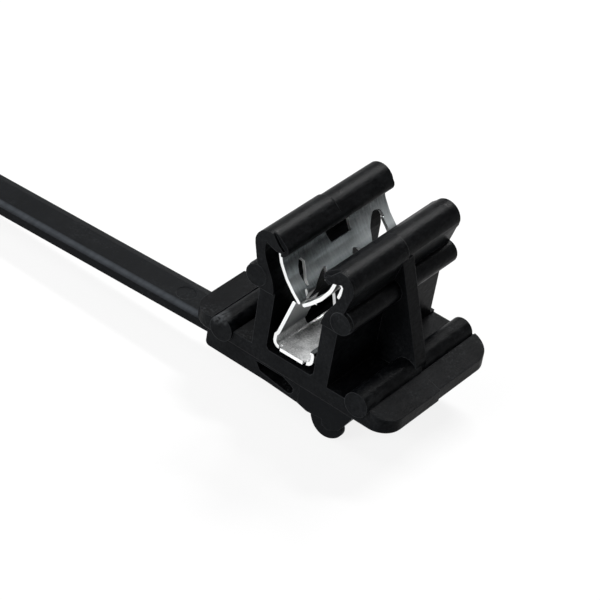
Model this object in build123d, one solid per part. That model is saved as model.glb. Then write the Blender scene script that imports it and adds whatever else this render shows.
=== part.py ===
from build123d import *
import math
import os

# Edge clip cable tie: a moulded clip that is pushed onto the edge of a panel, the folded spring
# insert that grips the panel, and the cable tie that runs through the guide under the clip's plate.
# Millimetres. X runs along the tie, Y along the edge of the panel, and the panel comes in from +Z.
# The outlines are drawn with z = 0 on the plate between the jaws. All parts are then lowered, so that
# the origin is the middle of the line where the panel's edge seats on the insert.

# Base plate, with a flange that slopes outwards on each side
plate_front = -8.85
plate_back = 9.5
plate_bottom = (-1.85, -2.4)
floor_z = -0.3
lip_x = 10.05
lip_z = -0.05
rim_left = (12.75, -0.3)
rim_right = (12.5, -0.75)
corner_r = 2.4
lower_edge_r = 0.35

# The front half of the mould stands a little further out than the back half
step = 0.15

# Jaws: inner and outer wall, the flare above the mid bead, and the neck under the hook
jaw_front = -8.85
jaw_back = 8.75
foot_in = 2.65
wall_in = 3.0
foot_out = 4.8
wall_out = 4.9
wall_top = 7.2
flare = [(3.2, 8.1), (3.85, 9.4), (4.35, 10.3), (4.75, 11.3)]
neck_out = (5.3, 9.6)

# Hook at the top of a jaw, its nose, the hollow under it, and the thinner nose of the proud end
hook_x = 4.25
hook_z = 12.2
hook_r = 1.7
nose_x = 3.05
nose_z = 12.3
nose_r = 0.8
nose_slope = 126
hollow = [(4.82, 12.0), (4.78, 12.45), (4.4, 12.68), (3.7, 12.62), (3.24, 12.3), (3.1, 11.8)]
end_nose = [(4.16, 13.86), (3.2, 12.81), (2.61, 12.38), (2.8, 12.15), (3.4, 12.1), (4.15, 12.3), (4.6, 12.5)]
end_nose_root = (4.82, 12.3)
proud = 0.35
proud_from = 6.9
far_proud = 0.2

# Beads along the jaws and along their feet
mid_bead = (5.15, 8.2)
mid_bead_r = 1.33
mid_disc_r = 1.24
disc_proud = 0.1
right_bead = (8.6, -0.1)
left_bead = (8.45, -0.65)
bead_r = 1.32
bead_lift = 0.1

# Centre rib on each side
rib_w = 1.8
rib_top = (6.1, 11.9)
rib_in = (5.3, 11.9)
rib_foot = (9.85, 1.0)

# Tie: strap section and the run of its underside
strap_y = -5.3
strap_w = 4.6
strap_t = 1.2
strap_top = -2.05
strap_bevel_w = 0.9
strap_bevel_t = 0.22
droop_x = -9.6
droop_deg = 2.05
rest_z = -6.8
tail_x = -192.0
tip_len = 14.0
tip_w = 2.8
droop_r = 30.0
lay_r = 500.0
mark_x = -16.0
mark_r = 1.1
mark_deep = 0.08

# Teeth on the upper face of the strap
teeth_from = -44.0
teeth_to = -174.0
tooth_pitch = 1.0
tooth_deep = 0.32
tooth_w = 3.0

# Guide under the plate that holds the strap, with a window in each side
guide_w = 6.6
guide_left = -10.5
guide_mid = -2.6
guide_right = 1.5
guide_z = [-3.92, -4.05, -4.35]
guide_r = 0.5
strap_gap = 0.1
channel_z = [-3.36, -3.8]
window = [(-4.1, -2.3), (-3.46, -3.25), (-2.1, -3.49), (0.3, -3.9), (0.62, -3.8), (0.85, -3.4), (0.8, -2.97),
          (0.36, -2.7), (-0.6, -2.3)]

# Head of the tie: body, the round part that hangs under it, the slot through that and the pawl
head_gap = 0.05
head_top = (-2.2, -2.34)
head_body = [(8.2, head_top[1]), (8.03, -2.77), (7.16, -4.32), (2.8, -4.7)]
cheek = [(4.64, -4.2), (4.87, -5.18), (5.57, -5.48), (6.98, -4.67), (7.1, -4.2)]
hang = [(2.9, -4.3), (3.05, -5.0), (3.78, -6.29), (4.9, -6.8), (6.21, -6.43), (7.02, -5.52), (6.9, -4.3)]
hang_in = 0.45
slot_w = 4.8
slot_x = 2.5
slot_top = -4.1
slot_floor = -5.5
floor_end = 5.3
pocket = (4.2, 6.9)
pocket_top = -3.2
pawl_w = 3.8
pawl_t = 0.6
pawl_teeth = 3
pawl_pitch = 0.8

# Spring insert: sheet and the middle line of its fold, from the web up to the lip in the hook
sheet = 0.38
insert_end = 8.5
web_z = 0.735
fold = [(2.35, web_z), (2.35, 2.05), (2.08, 2.45), (0.7, 7.45), (2.15, 9.05), (3.08, 10.55), (3.5, 11.95)]
fold += [(4.45, 11.95), (4.09, 10.4)]
fold_r = [0.7, 0.3, 0.3, 0.3, 2.0, 2.0, 0.4, 0.35]
web_tongue_x = 1.45
web_tongue_y = 0.2
notch_w = 0.3
notch_y = 0.35

# Right leaf: slits and slots, as y and the distance up the leaf from the pinch
teardrop = [(6.25, 3.3), (5.85, 3.3), (5.5, 2.8), (5.75, 2.0), (6.2, 1.2), (6.3, 0.5), (6.5, 0.5)]
teardrop += [(6.75, 1.3), (6.8, 1.9), (6.6, 2.7)]
arch = [(-4.25, -0.5), (-4.35, 0.6), (-4.9, 1.9), (-5.6, 2.9), (-6.0, 3.25), (-6.6, 3.3), (-7.2, 3.0)]
arch += [(-7.45, 2.34), (-7.24, 0.8), (-7.2, -0.5)]
window_leaf = [(-2.24, 2.85), (1.08, 2.85), (1.6, 4.3), (-2.3, 4.3)]
slot_wide = [(6.05, -0.95), (3.4, -0.95), (3.35, 0.2), (3.05, 1.1), (3.3, 1.25), (4.0, 0.98), (5.3, 0.14)]
slot_narrow = [(-2.8, -0.2), (-1.3, -0.2), (-1.1, 0.8), (-1.5, 1.25), (-2.2, 0.9)]

# Right legs of the insert: the wide one, and the narrow one nearer the other end
leg_wide = 4.2
leg_narrow = (-4.25, -2.8)
stub_z = 2.3
web_edge = 1.95
leg_top = 7.0
leg_foot = [(3.2, 0), (3.45, 0.9), (4.05, 2.2)]

# Barbs at both ends of each leaf, bent on past the pinch to the middle plane
barb_line = [(0.33, 7.22), (1.0, 7.82), (2.05, 8.95)]
hem_from = 5.5
barb_bend_r = 1.5
barb_w = (1.7, 1.25)
barb_tip_w = 0.45

seat_z = web_z + sheet / 2


def side_prism(points, y0, y1):
    """A closed outline of x, z points run from y0 to y1."""
    face = make_face(Plane.XZ * Polyline(*points, close=True))
    return Pos(0, y0, 0) * extrude(face, amount=y1 - y0, dir=(0, 1, 0))


def rod(centre, radius, y0, y1):
    """A round bar along Y."""
    disc = Plane.XZ * (Pos(centre[0], centre[1]) * Circle(radius))
    return Pos(0, y0, 0) * extrude(disc, amount=y1 - y0, dir=(0, 1, 0))


def block(x0, x1, y0, y1, z0, z1):
    """A box between two corners."""
    centre = Pos((x0 + x1) / 2, (y0 + y1) / 2, (z0 + z1) / 2)
    return centre * Box(x1 - x0, y1 - y0, z1 - z0)


def plate_half(y0, y1, grow):
    """One half of the base plate, with its corners rounded in plan and its lower edge rounded."""
    left = rim_left[0] + grow
    right = rim_right[0] + grow
    low_left, low_right = plate_bottom
    outline = [(-left, low_left), (right, low_right), (right, rim_right[1]), (lip_x, lip_z)]
    outline += [(lip_x - 0.25, floor_z), (foot_out, floor_z), (foot_out, 0), (-foot_out, 0)]
    outline += [(-foot_out, floor_z), (0.25 - lip_x, floor_z), (-lip_x, lip_z), (-left, rim_left[1])]
    body = side_prism(outline, y0, y1)
    middle = ((right - left) / 2, (plate_front + plate_back) / 2)
    plan = Pos(*middle) * RectangleRounded(left + right, plate_back - plate_front, corner_r)
    body = body & extrude(plan, amount=4, both=True)
    level = (low_left + low_right) / 2
    low = [e for e in body.edges() if abs(e.center().Z - level) < 0.05 and abs(e.center().Y) > 8]
    return fillet(low, lower_edge_r)


def around(centre, radius, angle):
    """A point on a circle."""
    turn = math.radians(angle)
    return (centre[0] + radius * math.cos(turn), centre[1] + radius * math.sin(turn))


def jaw_face(grow, at_end):
    """Section of the right jaw with its hook, without the beads."""
    middle = (hook_x + grow, hook_z)
    out = around(middle, hook_r, 0)
    start = (foot_in, -0.5)
    inner = Polyline(start, (foot_in, 0), (wall_in, wall_in - foot_in), (wall_in, wall_top), flare[0])
    bend = Spline(*flare)
    neck = [(out[0] - 0.08, hook_z - 0.5), (neck_out[0] + grow, neck_out[1]), (wall_out, wall_top)]
    outer = Polyline(out, *neck, (foot_out, 0), (foot_out, -0.5), start)
    if at_end:
        rise = Polyline(flare[-1], hollow[0], end_nose_root, *reversed(end_nose))
        top = ThreePointArc(end_nose[0], around(middle, hook_r, 60), out)
        return make_face(Plane.XZ * (inner + bend + rise + top + outer))
    nose = (nose_x, nose_z)
    under = around(nose, nose_r, 270)
    rise = Polyline(flare[-1], *hollow, under)
    round_nose = ThreePointArc(under, around(nose, nose_r, 190), around(nose, nose_r, nose_slope))
    crest = around(middle, hook_r, nose_slope)
    slope = Line(around(nose, nose_r, nose_slope), crest)
    top = ThreePointArc(crest, around(middle, hook_r, 60), out)
    return make_face(Plane.XZ * (inner + bend + rise + round_nose + slope + top + outer))


def jaw():
    """The right jaw. Its hook and bead are proud at both ends, and at the front the neck is too."""
    front = jaw_face(step, False)
    back = jaw_face(0, False)
    body = Pos(0, jaw_front, 0) * extrude(front, amount=-jaw_front, dir=(0, 1, 0))
    body += extrude(back, amount=jaw_back, dir=(0, 1, 0))
    end = jaw_front - proud
    cap = Pos(0, end, 0) * extrude(jaw_face(step, True), amount=proud, dir=(0, 1, 0))
    body += cap & block(0, 9, end, jaw_front, proud_from, 20)
    far = Pos(0, jaw_back, 0) * extrude(back, amount=far_proud, dir=(0, 1, 0))
    body += far & rod((hook_x, hook_z), hook_r, jaw_back, jaw_back + far_proud)
    x, z = mid_bead
    body += rod((x + step, z), mid_bead_r, jaw_front, 0) + rod(mid_bead, mid_bead_r, 0, jaw_back + disc_proud)
    return body + rod((x + step, z), mid_disc_r, end - disc_proud, jaw_front)


def foot_bead(centre):
    """The bead at the foot of the right jaw."""
    x, z = centre
    front = rod((x + step / 2, z + bead_lift), bead_r + step / 2, jaw_front - proud, 0)
    return front + rod(centre, bead_r, 0, plate_back - proud)


def rib():
    """The centre rib on the right, from the hook down over both beads."""
    points = [(wall_out - 0.3, floor_z - 0.2), (lip_x - 0.1, floor_z - 0.2), rib_foot, rib_top, rib_in]
    return side_prism(points, -rib_w / 2, rib_w / 2)


def guide():
    """The strap guide under the front half of the plate."""
    y0 = strap_y - guide_w / 2
    y1 = strap_y + guide_w / 2
    low, mid, end = guide_z
    top = max(plate_bottom) + 0.2
    points = [(guide_left, top), (guide_left, low), (guide_mid, mid), (guide_right, end), (guide_right, top)]
    body = side_prism(points, y0, y1)
    corner = body.edges().filter_by(Axis.Y).group_by(Axis.X)[0].sort_by(Axis.Z)[0]
    body = fillet(corner, guide_r)
    return body - side_prism(window, y0 - 1, y1 + 1)


def channel():
    """The space for the strap in the guide, which runs a little way up into the plate on the right."""
    half = strap_w / 2 + strap_gap
    floor_left, floor_right = channel_z
    points = [(guide_left - 1, strap_top), (guide_left - 1, floor_left), (guide_mid, floor_left),
              (guide_right + 1, floor_right), (guide_right + 1, strap_top)]
    return side_prism(points, strap_y - half, strap_y + half)


def clip_body():
    """The moulded clip."""
    body = plate_half(plate_front, 0, step) + plate_half(0, plate_back, 0)
    right = jaw() + rib()
    body += right + mirror(right, Plane.YZ)
    body += foot_bead(right_bead) + mirror(foot_bead(left_bead), Plane.YZ)
    return body + guide() - channel()


def sheet_run(line, y0, y1):
    """The sheet's thickness laid on both sides of a line, run from y0 to y1."""
    face = make_face(Plane.XZ * offset(line, sheet / 2))
    return Pos(0, y0, 0) * extrude(face, amount=y1 - y0, dir=(0, 1, 0))


def leaf_cutter(points, deep=1.5):
    """A cutter through the right leaf. Points are y and the distance up the leaf from the pinch."""
    dx = fold[4][0] - fold[3][0]
    dz = fold[4][1] - fold[3][1]
    size = math.hypot(dx, dz)
    plane = Plane(origin=(fold[3][0], 0, fold[3][1]), x_dir=(0, 1, 0), z_dir=(dz / size, 0, -dx / size))
    flip = 1 if plane.y_dir.Z > 0 else -1
    face = make_face(plane * Polyline(*[(y, s * flip) for y, s in points], close=True))
    return extrude(face, amount=deep, both=True)


def right_cuts():
    """All that is cut from the right half of the folded sheet."""
    cuts = leaf_cutter(teardrop) + leaf_cutter(arch) + leaf_cutter(window_leaf)
    cuts += leaf_cutter(slot_wide) + leaf_cutter(slot_narrow, 0.5)
    between = [(leg_narrow[1], 0), *leg_foot, (leg_wide, leg_foot[-1][1] + 0.8), (leg_wide, leg_top)]
    between.append((leg_narrow[1], leg_top))
    face = make_face(Plane.YZ * Polyline(*between, close=True))
    gap = Pos(0.1, 0, 0) * extrude(face, amount=4, dir=(1, 0, 0))
    cuts += gap - block(0, web_edge, -insert_end, insert_end, -1, stub_z / 2)
    cuts += block(0.1, 4, -insert_end - 1, leg_narrow[0], stub_z, leg_top)
    pinch_top = barb_line[1][1]
    cuts += block(0.02, 1.5, insert_end - barb_w[0], insert_end + 1, leg_top, pinch_top)
    cuts += block(fold[6][0] + sheet / 2, 6, hem_from, insert_end + 1, 9.5, 13)
    return cuts + block(0.02, 1.5, -insert_end - 1, barb_w[1] - insert_end, leg_top - 1, pinch_top)


def right_barb(width, end):
    """A barb at one end of the right leaf, narrowing to its tip."""
    side = 1 if end > 0 else -1
    line = FilletPolyline(*barb_line, radius=barb_bend_r)
    body = sheet_run(line, min(end, end - side * width), max(end, end - side * width))
    root = end - side * width
    tip = end - side * barb_tip_w
    return body - leaf_cutter([(root, 0.9), (tip, -1.6), (root - side, -1.6), (root - side, 0.9)])


def spring_insert():
    """The folded sheet with its slits, slots, windows and barbs. Its halves match by half a turn."""
    left = [(-x, z) for x, z in reversed(fold)]
    line = FilletPolyline(*left, *fold, radius=fold_r[::-1] + fold_r)
    body = sheet_run(line, -insert_end, insert_end)
    cuts = right_cuts()
    body -= cuts + Rot(0, 0, 180) * cuts
    for side in (-1, 1):
        edge = side * insert_end
        body += block(-web_tongue_x, web_tongue_x, min(edge, edge + side * web_tongue_y),
                      max(edge, edge + side * web_tongue_y), web_z - sheet / 2, web_z + sheet / 2)
        for x in (-web_tongue_x - notch_w, web_tongue_x):
            body -= block(x, x + notch_w, edge - notch_y, edge + notch_y, 0, web_z + 0.4)
    barbs = right_barb(barb_w[0], insert_end) + right_barb(barb_w[1], -insert_end)
    return body + barbs + Rot(0, 0, 180) * barbs


def strap_path():
    """Middle line of the strap, from inside the head to the end of the tail."""
    z0 = strap_top - strap_t / 2
    z1 = rest_z + strap_t / 2
    lay_x = droop_x - (z0 - z1) / math.tan(math.radians(droop_deg))
    points = [(2.4, z0), (droop_x, z0), (lay_x, z1), (tail_x, z1)]
    path = FilletPolyline(*points, radius=[droop_r, lay_r])
    return Plane(origin=(0, strap_y, 0), x_dir=(1, 0, 0), z_dir=(0, -1, 0)) * path


def strap():
    """The strap with both long upper edges bevelled and its tip tapered."""
    path = strap_path()
    w = strap_w / 2
    t = strap_t / 2
    section = [(-w, -t), (w, -t), (w, t - strap_bevel_t), (w - strap_bevel_w, t), (strap_bevel_w - w, t),
               (-w, t - strap_bevel_t)]
    start = Plane(origin=path @ 0, x_dir=(0, 1, 0), z_dir=(-1, 0, 0))
    flip = 1 if start.y_dir.Z > 0 else -1
    face = make_face(start * Polyline(*[(y, z * flip) for y, z in section], close=True))
    body = sweep(face, path=path)
    for side in (-1, 1):
        points = [(tail_x + tip_len, strap_y + side * strap_w / 2), (tail_x - 1, strap_y + side * tip_w / 2),
                  (tail_x - 1, strap_y + side * strap_w), (tail_x + tip_len, strap_y + side * strap_w)]
        body -= Pos(0, 0, rest_z - 1) * extrude(make_face(Polyline(*points, close=True)), amount=4)
    return body - teeth(path) - ejector_mark(path)


def teeth(path):
    """The saw-toothed cutter that leaves the teeth in the strap's upper face."""
    count = round((teeth_from - teeth_to) / tooth_pitch)
    low = []
    ends = []
    for i in range(count + 1):
        share = (path.length - (teeth_from - i * tooth_pitch - tail_x)) / path.length
        point = path @ share
        along = path % share
        up = Vector(along.Z, 0, -along.X)
        crest = point + up * (strap_t / 2)
        valley = crest - up * tooth_deep
        low += [(crest.X, crest.Z), (valley.X, valley.Z)]
        ends.append((crest.X, crest.Z + 1))
    outline = low[:-1] + [ends[-1], ends[0]]
    return side_prism(outline, strap_y - tooth_w / 2, strap_y + tooth_w / 2)


def ejector_mark(path):
    """The shallow round mark in the upper face of the strap."""
    share = (path.length - (mark_x - tail_x)) / path.length
    point = path @ share
    return Pos(mark_x, strap_y, point.Z + strap_t / 2) * Cylinder(mark_r, 2 * mark_deep)


def hanging_part(y0, y1):
    """The round lower part of the head, set back between two cheeks."""
    outline = Spline(*hang) + Line(hang[-1], hang[0])
    deep = y1 - y0 - 2 * hang_in
    body = Pos(0, y0 + hang_in, 0) * extrude(make_face(Plane.XZ * outline), amount=deep, dir=(0, 1, 0))
    return body + side_prism(cheek, y0, y1)


def head():
    """The head of the tie with its through slot and the pawl that hangs into it."""
    y0 = strap_y - guide_w / 2
    y1 = strap_y + guide_w / 2
    left = guide_right + head_gap
    body = side_prism([(left, head_top[0]), *head_body, (left, guide_z[2])], y0, y1) + hanging_part(y0, y1)
    body -= block(slot_x, 9, strap_y - slot_w / 2, strap_y + slot_w / 2, slot_floor, slot_top)
    body -= block(floor_end, 9, strap_y - slot_w / 2, strap_y + slot_w / 2, rest_z - 1, slot_top)
    body -= block(*pocket, strap_y - pawl_w / 2 - 0.2, strap_y + pawl_w / 2 + 0.2, slot_top - 1, pocket_top)
    return body + pawl()


def pawl():
    """The toothed tongue, joined to the head at the end where the strap goes in."""
    x0, x1 = pocket
    top = slot_top + pawl_t / 2
    points = [(x1 + 0.3, top + pawl_t / 2), (x0 + 0.4, top - 0.1)]
    for i in range(pawl_teeth):
        x = x0 + 0.4 + i * pawl_pitch
        points += [(x, slot_top - pawl_t), (x + pawl_pitch, slot_top - pawl_t / 2)]
    points.append((x1 + 0.3, slot_top - 0.05))
    return side_prism(points, strap_y - pawl_w / 2, strap_y + pawl_w / 2)


def cable_tie():
    """Head and strap, one moulding."""
    return head() + strap()


def save(name, body):
    """Lower a part so that the origin is at the seat, and write it."""
    node = Pos(0, 0, -seat_z) * body
    node.label = name
    export_step(node, f"parts/{name}.step")
    box = node.bounding_box()
    print(name, len(node.solids()), round(node.volume, 2), box.min, box.max)


os.makedirs("parts", exist_ok=True)
save("clip_body", clip_body())
save("spring_insert", spring_insert())
save("cable_tie", cable_tie())
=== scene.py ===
import math

import bpy
from mathutils import Matrix, Vector


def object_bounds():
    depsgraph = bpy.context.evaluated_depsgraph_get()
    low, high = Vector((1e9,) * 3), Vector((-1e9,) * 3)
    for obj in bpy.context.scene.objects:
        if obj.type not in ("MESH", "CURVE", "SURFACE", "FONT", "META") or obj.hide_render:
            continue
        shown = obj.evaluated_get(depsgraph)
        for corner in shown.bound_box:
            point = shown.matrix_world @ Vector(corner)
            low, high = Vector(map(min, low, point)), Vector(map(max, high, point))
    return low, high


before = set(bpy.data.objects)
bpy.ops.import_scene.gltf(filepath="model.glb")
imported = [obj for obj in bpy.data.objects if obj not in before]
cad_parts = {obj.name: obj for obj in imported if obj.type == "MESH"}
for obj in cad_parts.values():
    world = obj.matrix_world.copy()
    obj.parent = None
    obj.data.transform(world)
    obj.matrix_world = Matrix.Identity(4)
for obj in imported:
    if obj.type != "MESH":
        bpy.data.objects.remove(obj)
CAD_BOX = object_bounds()

bl_info = {
    "name": "Edge clip cable tie",
    "version": (1, 0, 0),
    "blender": (4, 5, 0),
    "location": "View3D > Sidebar > Edge clip",
    "description": "Finishes for a panel edge clip with its spring insert and cable tie, and a studio for it",
    "category": "Object",
}

MM = 0.001

# The strap's front bevel, in millimetres: y of its outer edge, and its width
BEVEL_EDGE = -7.6
BEVEL_WIDTH = 0.9

# Pale spots on the clip: centre and reach in millimetres, and strength. The first, at the front end of the
# left foot bead, is a painted highlight; the other two are scuffs on the right flange.
CLIP_SCUFF_AND_HIGHLIGHT_SPOTS = [((-9.2, -9.2, 0.4), 1.8, 5.0), ((10.8, -0.3, -0.4), 3.0, 0.6), ((10.2, -7.6, -0.6), 2.4, 0.6)]

# Heights on the part, in millimetres over the seat: where the flanges' dull tone ends, the top of the
# insert's bare web, the lowest and highest rims of its windows, and its own height
FLANGE_TOP = 1.5
WEB_TOP = 1.25
RIM_LOW = 9.2
RIM_HIGH = 10.25
INSERT_HEIGHT = 12

# Radius at which the edges of each material look rounded, in millimetres
NYLON_EDGE = 0.13
STEEL_EDGE = 0.05

# Optics of nylon, with the faint reflection of a satin surface
NYLON_IOR = 1.52
NYLON_REFLECTION = 0.024

# Edge of the square picture in picture elements, width of the camera's sensor and half the floor's side
PICTURE = 600
SENSOR_MM = 36.0
FLOOR_HALF = 4.0


class Signal:
    """A shader socket that can be used in sums; each sign adds the Math node for it."""

    def __init__(self, sheet, socket):
        self.sheet = sheet
        self.socket = socket

    def math(self, operation, a, b=None):
        inputs = {0: a} if b is None else {0: a, 1: b}
        return self.sheet.node("ShaderNodeMath", {"operation": operation}, inputs)

    def __add__(self, other):
        return self.math("ADD", self, other)

    def __radd__(self, other):
        return self.math("ADD", other, self)

    def __sub__(self, other):
        return self.math("SUBTRACT", self, other)

    def __rsub__(self, other):
        return self.math("SUBTRACT", other, self)

    def __mul__(self, other):
        return self.math("MULTIPLY", self, other)

    def __rmul__(self, other):
        return self.math("MULTIPLY", other, self)

    def __abs__(self):
        return self.math("ABSOLUTE", self)

    def larger(self, other):
        return self.math("MAXIMUM", self, other)

    def clamp(self):
        return self.sheet.node("ShaderNodeClamp", {}, {"Value": self}, "Result")


class Sheet:
    """A node tree, and the means to add nodes to it."""

    def __init__(self, tree):
        self.tree = tree

    def node(self, kind, settings, inputs, output=0):
        """Add a node of any type. Settings come first, then its sockets; gives one output back."""
        made = self.tree.nodes.new(kind)
        stops = settings.pop("stops", None)
        for key, value in settings.items():
            setattr(made, key, value)
        if stops:
            self.fill_ramp(made.color_ramp, stops)
        for key, value in inputs.items():
            self.feed(made.inputs[key], value)
        return Signal(self, made.outputs[output]) if made.outputs else None

    def fill_ramp(self, ramp, stops):
        while len(ramp.elements) < len(stops):
            ramp.elements.new(1.0)
        for element, (place, value) in zip(ramp.elements, stops):
            element.position = place
            element.color = (value, value, value, 1.0)

    def feed(self, socket, value):
        if isinstance(value, Signal):
            self.tree.links.new(value.socket, socket)
        else:
            socket.default_value = value

    def mix(self, factor, a, b):
        return self.node("ShaderNodeMix", {"data_type": "RGBA"}, {0: factor, 6: a, 7: b}, 2)

    def blend(self, factor, a, b):
        return self.node("ShaderNodeMixShader", {}, {0: factor, 1: a, 2: b})

    def ramp(self, value, stops):
        return self.node("ShaderNodeValToRGB", {"stops": stops}, {"Fac": value})

    def part_of(self, vector, axis):
        return self.node("ShaderNodeSeparateXYZ", {}, {"Vector": vector}, axis)

    def looked_at(self):
        """1 for the rays that show a surface: from the camera, in a reflection or through a clear piece."""
        rays = [self.node("ShaderNodeLightPath", {}, {}, f"Is {name} Ray")
                for name in ("Camera", "Glossy", "Transmission")]
        return rays[0].larger(rays[1]).larger(rays[2])


class Finish(Sheet):
    """A new material with a Principled shader."""

    def __init__(self, name):
        self.material = bpy.data.materials.new(name)
        self.material.use_nodes = True
        super().__init__(self.material.node_tree)
        self.shader = self.tree.nodes["Principled BSDF"]

    def set(self, **values):
        for key, value in values.items():
            self.feed(self.shader.inputs[key.replace("_", " ")], value)

    def place(self):
        return self.node("ShaderNodeTexCoord", {}, {}, "Object")

    def along(self, axis):
        """How far along an axis of the part a point is, in millimetres."""
        return self.part_of(self.place(), axis) * (1 / MM)

    def facing(self, axis):
        """How much the surface faces along an axis of the part, from -1 to 1."""
        return self.part_of(self.node("ShaderNodeTexCoord", {}, {}, "Normal"), axis)

    def stretched(self, scale):
        """The place on the part for a noise that is drawn out along the axes with a small scale."""
        return self.node("ShaderNodeMapping", {}, {"Vector": self.place(), "Scale": scale})

    def noise(self, vector, scale, detail, roughness):
        inputs = {"Vector": vector, "Scale": scale, "Detail": detail, "Roughness": roughness}
        return self.node("ShaderNodeTexNoise", {}, inputs, "Fac")

    def near(self, centre, reach):
        """1 at a point of the part, in millimetres, falling to 0 at this reach from it."""
        point = tuple(value * MM for value in centre)
        pair = {0: self.place(), 1: point}
        away = self.node("ShaderNodeVectorMath", {"operation": "DISTANCE"}, pair, "Value")
        return (1 - away * (1 / (reach * MM))).clamp()

    def rounded(self, radius):
        """The surface's direction as if every sharp edge had this radius."""
        return self.node("ShaderNodeBevel", {"samples": 8}, {"Radius": radius})

    def edges(self, rounded):
        """1 along the sharp edges, 0 on the faces between them."""
        flat = self.node("ShaderNodeNewGeometry", {}, {}, "Normal")
        same = self.node("ShaderNodeVectorMath", {"operation": "DOT_PRODUCT"}, {0: rounded, 1: flat}, "Value")
        return self.ramp(1 - same, [(0.02, 0.0), (0.16, 1.0)])

    def bump(self, height, depth, rounded):
        return self.node("ShaderNodeBump", {}, {"Height": height, "Distance": depth, "Normal": rounded})


def painted_bevel_highlight(finish, flow):
    """1 on the strap's front bevel, where a painted highlight goes, falling off to its long edges."""
    slope = finish.facing("Y") * finish.facing("Z") * -1
    on_bevel = finish.ramp(slope, [(0.15, 0.0), (0.22, 1.0), (0.3, 1.0), (0.42, 0.0)])
    across = (finish.along("Y") - BEVEL_EDGE) * (1 / BEVEL_WIDTH)
    middle = finish.ramp(across, [(0.0, 0.25), (0.5, 1.0), (0.75, 0.9), (1.0, 0.3)])
    return (on_bevel * middle * (0.3 + flow)).clamp()


def black_nylon(name, looks, scuff_and_highlight_spots=(), painted_light=False):
    """Moulded black nylon: a fine satin grain, faint flow marks, uneven gloss and scuffs, sharp edges painted
    paler as rubbing and as painted highlight, end faces painted paler as painted light, and on the strap a
    painted highlight on the front bevel and painted shade on the sides.
    """
    finish = Finish(name)
    place = finish.place()
    grain = finish.noise(finish.stretched((1.0, 0.45, 1.0)), scale=2600.0, detail=4.0, roughness=0.65)
    flow = finish.noise(finish.stretched((1.0, 0.3, 1.0)), scale=1500.0, detail=3.0, roughness=0.6)
    cloud = finish.noise(place, scale=420.0, detail=3.0, roughness=0.55)
    patch = finish.noise(place, scale=230.0, detail=2.0, roughness=0.5)
    patch = finish.ramp(patch, [(0.48, 0.0), (0.6, 1.0)])
    fleck = finish.noise(place, scale=3600.0, detail=3.0, roughness=0.7)
    fleck = finish.ramp(fleck, [(0.5, 0.0), (0.66, 1.0)])

    # The flanges are duller and darker than the rest. The faces that look along Y are painted paler, as
    # painted light: the clip's end faces. On the strap these are its sides, which are painted dark instead,
    # as painted shade.
    low = (FLANGE_TOP - finish.along("Z")).clamp()
    flange = finish.ramp(finish.facing("Z"), [(0.9, 0.0), (0.97, 1.0)]) * low
    ends = finish.ramp(abs(finish.facing("Y")), [(0.85, 0.0), (0.97, 0.6)])
    tone = finish.ramp(cloud * 0.35 + grain * 0.65, [(0.44, 0.0), (0.66, 1.0)])
    tone = tone * (1 - ends * 0.4 - flange * 0.4) + ends
    # On the strap, the side faces are painted dark: painted shade.
    if painted_light:
        tone = tone * (1 - ends * 1.5)

    rounded = finish.rounded(NYLON_EDGE * MM)
    # Sharp edges painted paler, partly as rubbing and partly as painted highlight.
    edge_wear_and_highlight = finish.edges(rounded) * (0.25 + cloud).clamp()
    scuffs_and_painted_highlights = (patch * fleck * (0.2 + flange * 0.4)).larger(edge_wear_and_highlight)
    # Pale spots: scuffs on the right flange, and a painted highlight on the left foot bead's front end.
    for centre, reach, strength in scuff_and_highlight_spots:
        scuffs_and_painted_highlights = scuffs_and_painted_highlights.larger(finish.near(centre, reach) * (grain * 2.4 - 0.9).clamp() * strength)

    nylon = finish.mix(tone.clamp(), tuple(looks.nylon), tuple(looks.nylon_pale_and_painted_light))
    nylon = finish.mix(scuffs_and_painted_highlights * 0.8, nylon, tuple(looks.scuff_and_highlight_colour))
    # On the strap, a painted highlight along the front bevel.
    if painted_light:
        nylon = finish.mix(painted_bevel_highlight(finish, flow), nylon, tuple(looks.bevel))
    finish.set(Base_Color=nylon, IOR=NYLON_IOR, Specular_IOR_Level=NYLON_REFLECTION)
    gloss = grain * 0.34 + flow * 0.1 + scuffs_and_painted_highlights * 0.1 + flange * 0.2
    finish.set(Roughness=(looks.roughness - 0.2) + gloss)
    finish.set(Normal=finish.bump(grain * 0.6 + flow * 0.4, looks.grain_depth, rounded))
    return finish.material


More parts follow.
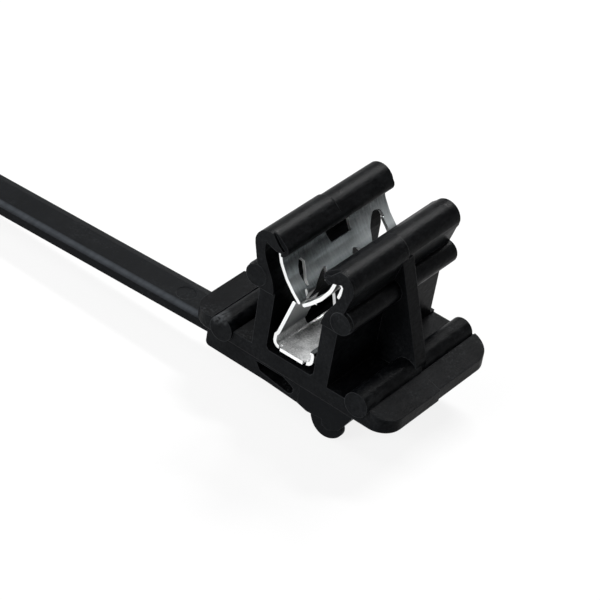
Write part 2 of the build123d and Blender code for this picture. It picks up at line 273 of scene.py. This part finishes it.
def coated_steel(name, looks):
    """Spring steel with a grey coat: darker towards the top as painted shade under the hooks, a brighter band
    at the pinch, bare on the web.
    """
    finish = Finish(name)
    place = finish.place()
    flake = finish.noise(place, scale=5200.0, detail=4.0, roughness=0.65)
    patch = finish.noise(place, scale=520.0, detail=3.0, roughness=0.6)
    lines = finish.noise(finish.stretched((0.12, 1.0, 0.12)), scale=3600.0, detail=3.0, roughness=0.6)
    mottled = finish.ramp(flake * 0.4 + patch * 0.6, [(0.3, 0.0), (0.7, 1.0)])
    height = finish.along("Z")
    # Darker towards the top, as painted shade under the hooks, with a brighter band at the pinch.
    height_tone_and_painted_shade = finish.ramp(height * (1 / INSERT_HEIGHT), [(0.1, 0.1), (0.3, 0.02), (0.58, 0.15), (0.63, 0.8),
                                                      (0.71, 0.45), (0.84, 0.03)])
    brighter = (height_tone_and_painted_shade + mottled * 0.3 + lines * 0.4 - 0.37).clamp()
    coat = finish.mix(brighter, tuple(looks.steel), tuple(looks.bright))

    # Where no coat is left: the sheared ends, the upper rims of the windows and the web
    ends = finish.ramp(abs(finish.facing("Y")), [(0.6, 0.0), (0.8, 1.0)])
    rise = finish.ramp(abs(finish.facing("Z")), [(0.68, 0.0), (0.76, 1.0)])
    rims = rise * ((height - RIM_LOW) * 4).clamp() * ((RIM_HIGH - height) * 4).clamp()
    bare = finish.ramp(patch * 0.5 + flake * 0.5, [(0.4, 0.45), (0.58, 1.0)])
    bare = bare * ((WEB_TOP - height) * 2.4).clamp()

    finish.set(Base_Color=finish.mix(ends.larger(rims).larger(bare), coat, tuple(looks.cut)))
    finish.set(Roughness=(looks.roughness - 0.16) + patch * 0.16 + lines * 0.14)
    rounded = finish.rounded(STEEL_EDGE * MM)
    finish.set(Normal=finish.bump(flake * 0.5 + lines * 0.5, looks.flake_depth, rounded))
    finish.set(Metallic=0.75 - bare * 0.5)
    return finish.material


def wear(node, material):
    """Give every material slot of a CAD node the finish."""
    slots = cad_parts[node].data.materials
    if not slots:
        slots.append(material)
    for i in range(len(slots)):
        slots[i] = material


class ClipLooks(bpy.types.PropertyGroup):
    nylon: bpy.props.FloatVectorProperty(
        name="Clip nylon", description="Colour of the clip's nylon", subtype="COLOR", size=4,
        min=0.0, max=1.0, default=(0.001, 0.0012, 0.0016, 1.0))
    # The pale tone is the grain's paler tone, and also painted light on the end faces.
    nylon_pale_and_painted_light: bpy.props.FloatVectorProperty(
        name="Clip nylon, pale", description="Paler tone of the nylon, in its grain and on its ends",
        subtype="COLOR", size=4, min=0.0, max=1.0, default=(0.0062, 0.0068, 0.0076, 1.0))
    # The scuff colour also paints highlights along sharp edges and on the left foot bead's front end.
    scuff_and_highlight_colour: bpy.props.FloatVectorProperty(
        name="Clip scuffs", description="Colour of the clip's small scuffs", subtype="COLOR", size=4,
        min=0.0, max=1.0, default=(0.042, 0.0445, 0.0475, 1.0))
    roughness: bpy.props.FloatProperty(
        name="Roughness", description="Roughness of the clip's surface", subtype="FACTOR",
        min=0.0, max=1.0, default=0.32)
    grain_depth: bpy.props.FloatProperty(
        name="Grain depth", description="Depth of the clip's grain", subtype="DISTANCE",
        unit="LENGTH", precision=6, min=0.0, default=0.06 * MM)


class TieLooks(bpy.types.PropertyGroup):
    nylon: bpy.props.FloatVectorProperty(
        name="Tie nylon", description="Colour of the tie's nylon", subtype="COLOR", size=4,
        min=0.0, max=1.0, default=(0.004, 0.0045, 0.0052, 1.0))
    nylon_pale_and_painted_light: bpy.props.FloatVectorProperty(
        name="Tie nylon, pale", description="Paler tone of the tie's nylon, in its grain",
        subtype="COLOR", size=4, min=0.0, max=1.0, default=(0.0095, 0.0103, 0.0114, 1.0))
    # The scuff colour also paints highlights along sharp edges.
    scuff_and_highlight_colour: bpy.props.FloatVectorProperty(
        name="Tie scuffs", description="Colour of the tie's small scuffs", subtype="COLOR", size=4,
        min=0.0, max=1.0, default=(0.024, 0.0255, 0.0275, 1.0))
    # The bevel colour is a painted highlight.
    bevel: bpy.props.FloatVectorProperty(
        name="Bevel", description="Colour of the polished band on the strap's front bevel",
        subtype="COLOR", size=4, min=0.0, max=1.0, default=(0.046, 0.051, 0.058, 1.0))
    roughness: bpy.props.FloatProperty(
        name="Roughness", description="Roughness of the tie's surface", subtype="FACTOR",
        min=0.0, max=1.0, default=0.38)
    grain_depth: bpy.props.FloatProperty(
        name="Grain depth", description="Depth of the tie's grain", subtype="DISTANCE",
        unit="LENGTH", precision=6, min=0.0, default=0.02 * MM)


class InsertLooks(bpy.types.PropertyGroup):
    steel: bpy.props.FloatVectorProperty(
        name="Coated steel", description="Colour of the coated spring steel", subtype="COLOR", size=4,
        min=0.0, max=1.0, default=(0.028, 0.032, 0.034, 1.0))
    bright: bpy.props.FloatVectorProperty(
        name="Bright steel", description="Colour of the brighter patches", subtype="COLOR", size=4,
        min=0.0, max=1.0, default=(0.38, 0.405, 0.412, 1.0))
    cut: bpy.props.FloatVectorProperty(
        name="Cut edge", description="Colour of the sheared edges and of the bare web", subtype="COLOR",
        size=4, min=0.0, max=1.0, default=(0.85, 0.86, 0.86, 1.0))
    roughness: bpy.props.FloatProperty(
        name="Roughness", description="Roughness of the coat", subtype="FACTOR",
        min=0.0, max=1.0, default=0.36)
    flake_depth: bpy.props.FloatProperty(
        name="Flake depth", description="Depth of the flakes in the coat", subtype="DISTANCE", unit="LENGTH",
        precision=6, min=0.0, default=0.01 * MM)


class StudioSetup(bpy.types.PropertyGroup):
    azimuth: bpy.props.FloatProperty(
        name="Azimuth", description="Direction of the view round the clip", subtype="ANGLE",
        default=math.radians(32.12))
    elevation: bpy.props.FloatProperty(
        name="Elevation", description="Height of the view over the horizon", subtype="ANGLE",
        default=math.radians(36.72))
    roll: bpy.props.FloatProperty(
        name="Roll", description="Turn of the picture round the line of sight", subtype="ANGLE",
        default=math.radians(9.87))
    scale: bpy.props.FloatProperty(
        name="Scale", description="Picture elements to a millimetre at the clip", default=9.83)
    focal: bpy.props.FloatProperty(
        name="Focal length", description="Focal length in picture elements", default=3000.0)
    aim_x: bpy.props.FloatProperty(
        name="Aim across", description="Column of the plate's middle in the picture", default=342.5)
    aim_y: bpy.props.FloatProperty(
        name="Aim down", description="Row of the plate's middle in the picture", default=325.95)
    seat: bpy.props.FloatProperty(
        name="Seat height", description="Height of the origin over the plate", subtype="DISTANCE",
        unit="LENGTH", default=0.925 * MM)
    key_power: bpy.props.FloatProperty(
        name="Key light", description="Power of the long light behind the clip", unit="POWER",
        default=2.3)
    fill_power: bpy.props.FloatProperty(
        name="Left light", description="Power of the light on the left", unit="POWER",
        default=0.9)
    back_power: bpy.props.FloatProperty(
        name="Back light", description="Power of the low light behind", unit="POWER",
        default=0.8)
    front_power: bpy.props.FloatProperty(
        name="Front light", description="Power of the light in front", unit="POWER",
        default=1.6)
    floor_colour: bpy.props.FloatVectorProperty(
        name="Floor", description="Colour of the floor", subtype="COLOR", size=4, min=0.0, max=1.0,
        default=(0.9, 0.9, 0.9, 1.0))
    surround: bpy.props.FloatProperty(
        name="Surround light", description="Strength of the surround as a light", min=0.0, default=0.12)
    floor_white: bpy.props.FloatProperty(
        name="Floor white", description="Share of plain white in the floor as it is seen", subtype="FACTOR",
        min=0.0, max=1.0, default=0.85)


class EDGECLIP_OT_clip(bpy.types.Operator):
    """Finish the moulded clip in black nylon"""

    bl_idname = "edgeclip.clip"
    bl_label = "Finish the clip"

    def execute(self, context):
        wear("clip_body", black_nylon("clip_nylon", context.scene.clip_looks, scuff_and_highlight_spots=CLIP_SCUFF_AND_HIGHLIGHT_SPOTS))
        return {"FINISHED"}


class EDGECLIP_OT_tie(bpy.types.Operator):
    """Finish the cable tie in black nylon"""

    bl_idname = "edgeclip.tie"
    bl_label = "Finish the tie"

    def execute(self, context):
        # The tie gets a painted highlight on the strap's front bevel and painted shade on its sides.
        wear("cable_tie", black_nylon("tie_nylon", context.scene.tie_looks, painted_light=True))
        return {"FINISHED"}


class EDGECLIP_OT_insert(bpy.types.Operator):
    """Finish the spring insert in coated steel"""

    bl_idname = "edgeclip.insert"
    bl_label = "Finish the insert"

    def execute(self, context):
        wear("spring_insert", coated_steel("spring_steel", context.scene.insert_looks))
        return {"FINISHED"}


def studio_camera(setup):
    """A camera that sees the clip as the picture does."""
    az, el, roll = setup.azimuth, setup.elevation, setup.roll
    right = Vector((math.cos(az), math.sin(az), 0))
    back = Vector((math.sin(az) * math.cos(el), -math.cos(az) * math.cos(el), math.sin(el)))
    up = back.cross(right)
    across = right * math.cos(roll) + up * math.sin(roll)
    upright = up * math.cos(roll) - right * math.sin(roll)
    cx = (setup.aim_x - PICTURE / 2) / setup.scale
    cy = (PICTURE / 2 - setup.aim_y) / setup.scale
    away = setup.focal / setup.scale
    centre = (back * away - across * cx - upright * cy) * MM - Vector((0, 0, setup.seat))
    data = bpy.data.cameras.new("camera")
    data.sensor_width = SENSOR_MM
    data.lens = setup.focal / PICTURE * SENSOR_MM
    data.clip_start = 0.01
    data.clip_end = 50.0
    camera = bpy.data.objects.new("camera", data)
    turn = Matrix((across, upright, back)).transposed().to_4x4()
    camera.matrix_world = Matrix.Translation(centre) @ turn
    bpy.context.scene.collection.objects.link(camera)
    bpy.context.scene.camera = camera


def lamp(name, place, size, power):
    """A flat light that looks at the clip. Its size is a width and a height."""
    data = bpy.data.lights.new(name, "AREA")
    data.shape = "RECTANGLE"
    data.size, data.size_y = size
    data.energy = power
    light = bpy.data.objects.new(name, data)
    light.location = place
    light.rotation_euler = (-Vector(place)).to_track_quat("-Z", "Y").to_euler()
    bpy.context.scene.collection.objects.link(light)


def studio_world(setup):
    """A white surround, as it is seen, and a quiet grey as a light."""
    world = bpy.data.worlds.new("studio")
    world.use_nodes = True
    sheet = Sheet(world.node_tree)
    sheet.tree.nodes.clear()
    quiet = sheet.node("ShaderNodeBackground", {}, {"Color": (1, 1, 1, 1), "Strength": setup.surround})
    white = sheet.node("ShaderNodeBackground", {}, {"Color": (1, 1, 1, 1), "Strength": 1.0})
    surround = sheet.blend(sheet.looked_at(), quiet, white)
    sheet.node("ShaderNodeOutputWorld", {}, {"Surface": surround})
    bpy.context.scene.world = world


def pale_floor(setup):
    """A wide pale floor at the object's lowest point, mixed with plain white where it is seen."""
    low = CAD_BOX[0][2]
    corners = [(x * FLOOR_HALF, y * FLOOR_HALF, low) for x, y in ((-1, -1), (1, -1), (1, 1), (-1, 1))]
    mesh = bpy.data.meshes.new("floor")
    mesh.from_pydata(corners, [], [(0, 1, 2, 3)])
    floor = bpy.data.objects.new("floor", mesh)
    bpy.context.scene.collection.objects.link(floor)
    finish = Finish("floor")
    finish.set(Base_Color=tuple(setup.floor_colour), Roughness=0.9)
    white = finish.node("ShaderNodeEmission", {}, {"Strength": 1.0})
    lit = Signal(finish, finish.shader.outputs[0])
    seen = finish.blend(finish.looked_at() * setup.floor_white, lit, white)
    finish.feed(finish.tree.nodes["Material Output"].inputs["Surface"], seen)
    floor.data.materials.append(finish.material)


class EDGECLIP_OT_studio(bpy.types.Operator):
    """Set up the floor, the lights, the world and the camera"""

    bl_idname = "edgeclip.studio"
    bl_label = "Set up the studio"

    def execute(self, context):
        setup = context.scene.studio_setup
        context.scene.view_settings.view_transform = "Standard"
        studio_world(setup)
        pale_floor(setup)
        lamp("light_top", place=(-0.08, 0.29, 0.33), size=(0.26, 0.045), power=setup.key_power)
        lamp("light_left", place=(-0.4, -0.1, 0.16), size=(0.2, 0.2), power=setup.fill_power)
        lamp("light_back", place=(-0.1, 0.44, 0.08), size=(0.2, 0.2), power=setup.back_power)
        lamp("light_front", place=(-0.12, -0.4, 0.18), size=(0.2, 0.2), power=setup.front_power)
        studio_camera(setup)
        return {"FINISHED"}


class EDGECLIP_PT_panel(bpy.types.Panel):
    """The clip's pieces and the studio"""

    bl_idname = "EDGECLIP_PT_panel"
    bl_label = "Edge clip"
    bl_space_type = "VIEW_3D"
    bl_region_type = "UI"
    bl_category = "Edge clip"

    def draw(self, context):
        for step in (EDGECLIP_OT_clip, EDGECLIP_OT_insert, EDGECLIP_OT_tie, EDGECLIP_OT_studio):
            self.layout.operator(step.bl_idname)
        for group in ("clip_looks", "insert_looks", "tie_looks", "studio_setup"):
            column = self.layout.column()
            owner = getattr(context.scene, group)
            for key in owner.__annotations__:
                column.prop(owner, key)


CLASSES = (ClipLooks, TieLooks, InsertLooks, StudioSetup, EDGECLIP_OT_clip, EDGECLIP_OT_insert,
           EDGECLIP_OT_tie, EDGECLIP_OT_studio, EDGECLIP_PT_panel)


def register():
    for item in CLASSES:
        bpy.utils.register_class(item)
    bpy.types.Scene.clip_looks = bpy.props.PointerProperty(type=ClipLooks)
    bpy.types.Scene.tie_looks = bpy.props.PointerProperty(type=TieLooks)
    bpy.types.Scene.insert_looks = bpy.props.PointerProperty(type=InsertLooks)
    bpy.types.Scene.studio_setup = bpy.props.PointerProperty(type=StudioSetup)


def unregister():
    for name in ("clip_looks", "tie_looks", "insert_looks", "studio_setup"):
        delattr(bpy.types.Scene, name)
    for item in reversed(CLASSES):
        bpy.utils.unregister_class(item)


def main():
    register()
    bpy.ops.edgeclip.clip()
    bpy.ops.edgeclip.insert()
    bpy.ops.edgeclip.tie()
    bpy.ops.edgeclip.studio()


if __name__ == "__main__":
    main()
